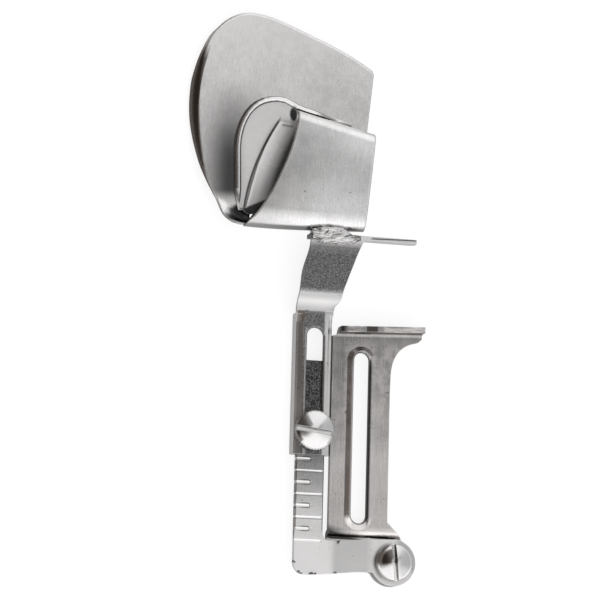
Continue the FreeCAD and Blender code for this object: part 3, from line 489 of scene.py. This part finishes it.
def slide_steel():
    # tumbled sheet: soft pits all over, dark along the middle of its width and up the raised arm
    m = Steel("slide_arm_steel", COOL)
    m.start(0.84, 0.60, side=0.66, grain=0.42, streak=0.12)
    speckle = m.noise(2600.0, 4.0, 0.7, contrast=(0.60, 0.44))
    raised = m.past(m.y, 38.5, 40.0)
    middle = m.where(m.band(m.x, -17.35, -16.75, -11.3, -10.8), m.past(m.y, 34.9, 34.0))
    dark = m.math("ADD", middle, raised, clamp=True)
    m.shade(dark, 0.28, 0.97)
    m.shade(m.where(dark, speckle), 0.07, 0.8)

    # lighter next to the solder; painted reflections on two strips at the left: a darker outer one,
    # and a painted highlight beside the slot
    m.shade(m.past(m.y, 49.5, 55.5), 0.60, 0.6)
    m.shade(m.past(m.y, 51.8, 53.8), 0.95, 0.75)
    outer_strip_reflection = m.where(m.band(m.x, -18.8, -18.6, -17.4, -17.1), m.past(m.y, 34.5, 34.0))
    m.shade(outer_strip_reflection, 0.42, 0.7)
    slot_rim_highlight = m.where(m.band(m.x, -16.7, -16.4, -15.9, -15.6), m.past(m.y, 30.0, 28.5))
    m.shade(slot_rim_highlight, 0.52, 0.8)

    # flange: a bright prong with a dark line along it, and a black left end
    prong = m.past(m.x, 0.2, 1.2)
    m.shade(prong, 0.74, 0.85)
    m.shade(m.where(prong, m.band(m.level(1.2, 0.0286), 54.65, 54.8, 55.0, 55.15)), 0.05, 0.9)
    m.shade(m.where(m.past(m.x, -15.6, -16.0), m.past(m.y, 53.2, 53.8)), 0.05, 0.9)

    # joggle: painted grey shade with a painted highlight along its crest, and a painted brown
    # reflection below it at the left
    m.shade(m.band(m.y, 33.4, 34.6, 38.0, 39.8), 0.42, 0.95)
    m.shade(m.band(m.y, 34.2, 36.4, 36.8, 38.6), 0.82, 0.95)
    brown_reflection_patch = m.where(m.band(m.x, -18.95, -18.75, -17.0, -16.6), m.band(m.y, 31.1, 31.3, 34.0, 34.4))
    m.shade(brown_reflection_patch, 0.22, 0.95, BROWN)
    m.pores(640.0, 0.30, 0.5)
    m.shade(m.spot(-16.4, 34.2, 0.5, soft=0.6, warp=0.8), 0.14, 0.7)
    # painted shade in corners and gaps
    m.painted_crevice_shade(0.5)

    m.relief(m.times(dark, m.noise(1500.0, 4.0, 0.65)), 0.16, 0.9)
    m.relief(m.noise(2400.0, 2.0, 0.5), 0.035, 0.6)
    return m.finish(0.29, edge_tone=0.9)


def folder_steel():
    # drawn and polished sheet
    m = Steel("folder_steel", COOL, edge=1.0, outline=(0.74, 0.58))
    m.start(1.0, 0.80, side=0.42, grain=0.34, streak=0.36, stretch=(5.0, 0.35, 1.0),
            cloud_scale=60.0, spread=0.09)
    m.shade(m.noise(180.0, 4.0, 0.6, contrast=(0.50, 0.66)), 0.72, 0.4)

    # fan: painted shade towards the bead, standing in for a warp of the sheet, and a painted
    # highlight at its far end
    fan = m.past(m.z, 4.2, 3.6)
    across = m.where(m.past(m.x, -50.0, -39.0, SMOOTH), m.past(m.x, -27.0, -37.0, SMOOTH))
    along = m.where(m.past(m.y, 101.0, 75.0, SMOOTH), m.past(m.y, 63.0, 66.8, SMOOTH))
    m.shade(m.where(fan, across, along), 0.08, 0.97)
    m.shade(m.where(fan, m.past(m.y, 100.0, 116.0, SMOOTH)), 1.0, 0.6)

    # painted shade on the faces that look down -Y, the outside of the bottom fold, then in the
    # cavity at the lower end of the mouth
    m.shade(m.ramp(m.facing_y, -0.70, -0.90), 0.30, 0.9)
    low = m.past(m.z, 7.4, 6.4)
    cavity = m.where(m.band(m.x, -40.2, -38.4, -32.0, -30.5), m.band(m.y, 56.6, 57.1, 61.3, 62.6))
    m.shade(m.where(cavity, low), 0.03, 0.95)
    m.shade(m.where(m.oval(-34.8, 61.0, 3.6, 2.6, 0.5), low), 0.02, 0.95)
    m.shade(m.oval(-33.9, 59.2, 0.9, 1.1, 0.6), 0.05, 0.9)

    # rolled edge: a painted brown reflection
    outer = m.where(m.past(m.x, -39.0, -40.5), m.past(m.y, 65.0, 69.0))
    outer = m.math("MAXIMUM", outer, m.past(m.x, -41.5, -44.0))
    rolled = m.where(m.past(m.z, 3.16, 3.00), outer)
    m.shade(m.where(rolled, m.past(m.y, 109.0, 104.0)), 0.24, 0.95, BROWN)

    # the painted brown reflection of the roll carries on about 1 mm over the flat of the fan
    reach = m.oval(-30.0, 88.0, 18.9, 34.7, 0.0)
    margin = m.where(m.ramp(reach, 0.062, 0.036), m.past(m.x, -42.5, -45.0),
                     m.past(m.y, 107.5, 103.0))
    m.shade(m.where(fan, margin), 0.15, 0.95, BROWN)

    # crowned front, with painted shade towards its left, and one dark fleck
    front = m.past(m.z, 4.6, 5.2)
    m.shade(m.where(front, m.past(m.x, -16.0, -33.0, SMOOTH)), 0.48, 0.6)
    m.pores(330.0, 0.23, 0.6)
    m.shade(m.spot(-19.0, 66.6, 0.35, soft=0.6, warp=0.4), 0.25, 0.8)
    # painted shade in corners and gaps
    m.painted_crevice_shade(1.4, 0.03, 0.95, 0.12, 0.45)

    m.relief(m.lines, 0.010, 0.6)
    m.relief(m.noise(300.0, 3.0, 0.5), 0.03, 0.5)
    return m.finish(0.22, vary=0.12, edge_tone=0.22)


def guide_steel():
    # beaded plate, darker towards its lower left
    m = Steel("guide_steel", COOL)
    m.start(0.97, 0.82, side=0.5, grain=0.35, streak=0.25, stretch=(0.35, 5.0, 1.0), turn=30.0,
            cloud_scale=80.0)
    m.shade(m.where(m.past(m.y, 88.0, 70.0), m.past(m.x, -34.5, -37.5)), 0.45, 0.5)

    # ramp beside the mouth: a painted shadow along its left edge, and painted shade growing towards
    # its right, under the front
    up = m.minus(m.y, RAMP_FOOT_Y * MM)
    share = m.math("DIVIDE", up, RAMP_RISE * MM)
    bow = m.times(m.times(share, m.minus(1.0, share)), RAMP_BOW * MM)
    straight = m.minus(m.times(m.minus(m.x, RAMP_FOOT_X * MM), RAMP_ACROSS_X),
                       m.times(up, RAMP_ACROSS_Y))
    across = m.plus(straight, bow)
    below_end = m.past(m.y, 88.5, 86.8)
    ramp_side = m.where(m.past(across, -0.3, 0.1), below_end)
    m.shade(m.where(m.band(across, -0.75, -0.55, -0.2, 0.0), below_end), 0.03, 0.92)
    m.shade(m.where(ramp_side, m.past(across, 2.4, 4.4)), 0.45, 0.7)
    m.shade(m.where(ramp_side, m.past(across, 4.6, 6.2)), 0.07, 0.9)

    # painted shade in the cavities at both ends of the mouth, at the plate's lower tip and on the
    # flank of the bead
    m.shade(m.oval(-21.4, 89.4, 1.3, 2.4, 0.4), 0.02, 0.97)
    m.shade(m.oval(-33.6, 60.0, 1.1, 1.4, 0.5), 0.04, 0.9)
    tip = m.where(m.past(m.level(-35.8, 0.49), 61.4, 60.8), m.past(m.x, -36.2, -35.6))
    m.shade(tip, 0.03, 0.95)
    off_ramp = m.math("SUBTRACT", 1.0, ramp_side, clamp=True)
    m.shade(m.where(m.band(m.z, 3.82, 3.92, 4.18, 4.34), off_ramp), 0.12, 0.75)

    # a painted highlight on the cut edge at the upper end of the ramp, with a painted shadow below
    cut_edge_highlight = m.where(m.band(m.x, -25.4, -25.0, -22.6, -22.2), m.band(m.y, 85.9, 86.1, 86.9, 87.1))
    m.shade(cut_edge_highlight, 1.0, 0.95)
    cut_edge_shadow = m.where(m.band(m.x, -25.2, -24.8, -21.8, -21.2), m.band(m.y, 85.2, 85.5, 85.9, 86.2))
    m.shade(cut_edge_shadow, 0.20, 0.6)
    # painted shade in corners and gaps, broad and faint, then narrow and dark
    m.painted_crevice_shade(2.2, 0.22, 0.6, 0.50, 0.92, COOL)
    m.painted_crevice_shade(0.8, 0.04, 0.9, 0.18, 0.5)

    m.relief(m.noise(420.0, 3.0, 0.5), 0.03, 0.4)
    metallic = m.ramp(ramp_side, 0.0, 1.0, 1.0, RAMP_METALLIC)
    return m.finish(0.26, vary=0.12, edge_tone=0.9, metallic=metallic)


def screw_steel(name, centre, light, dark, painted_reflections, teeth=0):
    # turned face: the circular tool marks stretch each highlight along the radius
    m = Steel(name, COOL, edge=0.2)
    m.start(light, dark, side=0.08, grain=0.4, streak=0.2, cloud_scale=140.0)
    # painted reflections and shade in wedges of the turned face
    for heading, half, inner, outer, tone in painted_reflections:
        tint = BROWN if tone < BROWN_BELOW else COOL
        m.shade(m.sector(centre, heading, half, inner, outer), tone, 0.95, tint)
    arm, radius = m.radial(centre)
    # painted shade: dark notches for the teeth of the knurled rim
    if teeth:
        split = m.node("ShaderNodeSeparateXYZ", {0: arm})
        angle = m.math("ARCTAN2", split.outputs[1], split.outputs[0])
        notch = m.ramp(m.math("SINE", m.times(angle, teeth)), 0.0, 0.7)
        m.shade(m.where(notch, m.past(radius, 4.90, 5.15)), 0.10, 0.9)
    m.pores(520.0, 0.27, 0.5)
    # painted shade in corners and gaps
    m.painted_crevice_shade(0.9, 0.06, 0.9, 0.35, 0.85)
    m.relief(m.times(radius, -DISH / MM), 1.0)
    rings = m.math("SINE", m.times(radius, 2.0 * math.pi / (RING_PITCH * MM)))
    m.relief(rings, 0.004, 0.5)
    m.relief(m.noise(500.0, 3.0, 0.5), 0.04, 0.6)
    return m.finish(0.13, vary=0.1, edge_tone=0.7, turned=centre)


def solder_metal():
    # wrinkled, with a wavy crack that runs aslant
    m = Steel("solder", COOL, edge=0.3)
    m.start(0.84, 0.60, side=0.7, grain=0.4, streak=0.1, cloud_scale=300.0)
    wrinkles = m.noise(650.0, 4.0, 0.6, m.place((0.5, 1.6, 1.0)), (0.45, 0.40))
    m.shade(wrinkles, 0.16, 0.7)
    wavy = m.plus(m.level(-7.35, 0.37), m.times(m.noise(900.0), 0.5 * MM))
    crack = m.where(m.band(m.x, -7.6, -7.0, -3.0, -1.8), m.band(wavy, 54.6, 54.8, 55.1, 55.3))
    m.shade(crack, 0.06, 0.9)
    # painted shade in corners and gaps
    m.painted_crevice_shade(0.9)
    m.relief(m.noise(1500.0, 3.0, 0.6), 0.08, 0.6)
    return m.finish(0.36, edge_tone=0.8)


def assign(name, material):
    materials = nodes[name].data.materials
    materials.clear()
    materials.append(material)


def add_lumpy_solder(material):
    # the solder run with its real lumps: the solid's own surface, divided and pushed in by noise
    source = nodes["solder_joint"]
    piece = bpy.data.objects.new("solder_run", source.data.copy())
    bpy.context.scene.collection.objects.link(piece)
    piece.matrix_world = source.matrix_world.copy()
    remesh = piece.modifiers.new("even", "REMESH")
    remesh.mode = "VOXEL"
    remesh.voxel_size = SOLDER_VOXEL * MM
    bpy.context.view_layer.update()
    evaluated = piece.evaluated_get(bpy.context.evaluated_depsgraph_get())
    mesh = bpy.data.meshes.new_from_object(evaluated)
    piece.modifiers.clear()
    piece.data = mesh
    normals = [vertex.normal.copy() for vertex in mesh.vertices]
    for vertex, normal in zip(mesh.vertices, normals):
        at = vertex.co / MM
        lump = 0.5 + 0.5 * noise.fractal(at * LUMP_SCALE, *LUMP_FRACTAL)
        stretched = at * Vector(CREASE_SCALE) + Vector((0.0, 0.0, CREASE_SHIFT))
        crease = max(0.0, 1.0 - CREASE_SHARPNESS * abs(noise.noise(stretched)))
        depth = LUMP_DEPTH * lump + CREASE_DEPTH * crease
        vertex.co = vertex.co - normal * depth * MM
    mesh.polygons.foreach_set("use_smooth", [True] * len(mesh.polygons))
    mesh.materials.clear()
    mesh.materials.append(material)
    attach(piece, "slide")
    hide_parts("solder_joint")


def add_floor():
    mesh = bpy.data.meshes.new("floor")
    corners = [(-1, -1), (1, -1), (1, 1), (-1, 1)]
    vertices = [(x * FLOOR_HALF, y * FLOOR_HALF, FLOOR_Z) for x, y in corners]
    mesh.from_pydata(vertices, [], [(0, 1, 2, 3)])
    floor = bpy.data.objects.new("floor", mesh)
    bpy.context.scene.collection.objects.link(floor)
    material = bpy.data.materials.new("floor_white")
    t = Tree(material, "ShaderNodeOutputMaterial", "Object")
    path = t.node("ShaderNodeLightPath").outputs
    mirrored = t.math("ADD", path["Is Glossy Ray"], path["Is Transmission Ray"], clamp=True)
    mirrored = t.times(mirrored, FLOOR_MIRRORED)
    seen = t.math("ADD", path["Is Camera Ray"], mirrored, clamp=True)
    diffuse = t.node("ShaderNodeBsdfDiffuse", {"Color": rgb(FLOOR_DIFFUSE, WHITE)})
    glow = t.node("ShaderNodeEmission", {
        "Color": rgb(1.0, WHITE), "Strength": t.times(seen, FLOOR_GLOW),
    })
    t.surface(t.node("ShaderNodeAddShader", {0: diffuse.outputs[0], 1: glow.outputs[0]}))
    mesh.materials.append(material)


def add_world():
    # what the steel mirrors, by the x and y of the direction: pale all round, with two dim patches,
    # brighter towards +Y and -Y, a little dimmer at the right and dim brown at the left
    world = bpy.data.worlds.new("studio")
    bpy.context.scene.world = world
    t = Tree(world, "ShaderNodeOutputWorld", "Generated")
    x, y, _ = t.node("ShaderNodeSeparateXYZ", {0: t.coords}).outputs
    beside = t.where(
        t.window(y, 0.12, 0.18, 0.28, 0.34, SMOOTH),
        t.window(x, 0.31, 0.38, 0.48, 0.56, SMOOTH),
    )
    overhead = t.where(
        t.window(y, 0.085, 0.115, 0.215, 0.26, SMOOTH),
        t.window(x, 0.12, 0.20, 0.34, 0.42, SMOOTH),
    )
    light = rgb(0.80, WHITE)
    for mask, colour in (
        (beside, rgb(0.26, WHITE)),
        (overhead, (0.16, 0.155, 0.15, 1.0)),
        (t.ramp(y, 0.30, 0.50, kind=SMOOTH), rgb(1.0, WHITE)),
        (t.ramp(x, 0.50, 0.75, kind=SMOOTH), (0.68, 0.68, 0.69, 1.0)),
        (t.ramp(x, 0.10, -0.15, kind=SMOOTH), (0.125, 0.106, 0.094, 1.0)),
        (t.ramp(y, 0.0, -0.25, kind=SMOOTH), rgb(1.15, WHITE)),
    ):
        light = t.mix(mask, light, colour)
    t.surface(t.node("ShaderNodeBackground", {"Color": light, "Strength": 1.0}))


add_camera()

assign("mounting_bracket", bracket_steel())
assign("swing_arm", swing_steel())
assign("slide_arm", slide_steel())
assign("folder_scroll", folder_steel())
assign("inner_guide", guide_steel())
assign("pivot_screw", screw_steel("pivot_screw_steel", PIVOT, 0.88, 0.72, PIVOT_PAINTED_REFLECTIONS))
assign("clamp_screw",
       screw_steel("clamp_screw_steel", CLAMP, 0.90, 0.76, CLAMP_PAINTED_REFLECTIONS, CLAMP_TEETH))
solder = solder_metal()
assign("solder_joint", solder)
add_lumpy_solder(solder)

add_floor()
add_world()

bpy.context.scene.view_settings.view_transform = "Standard"
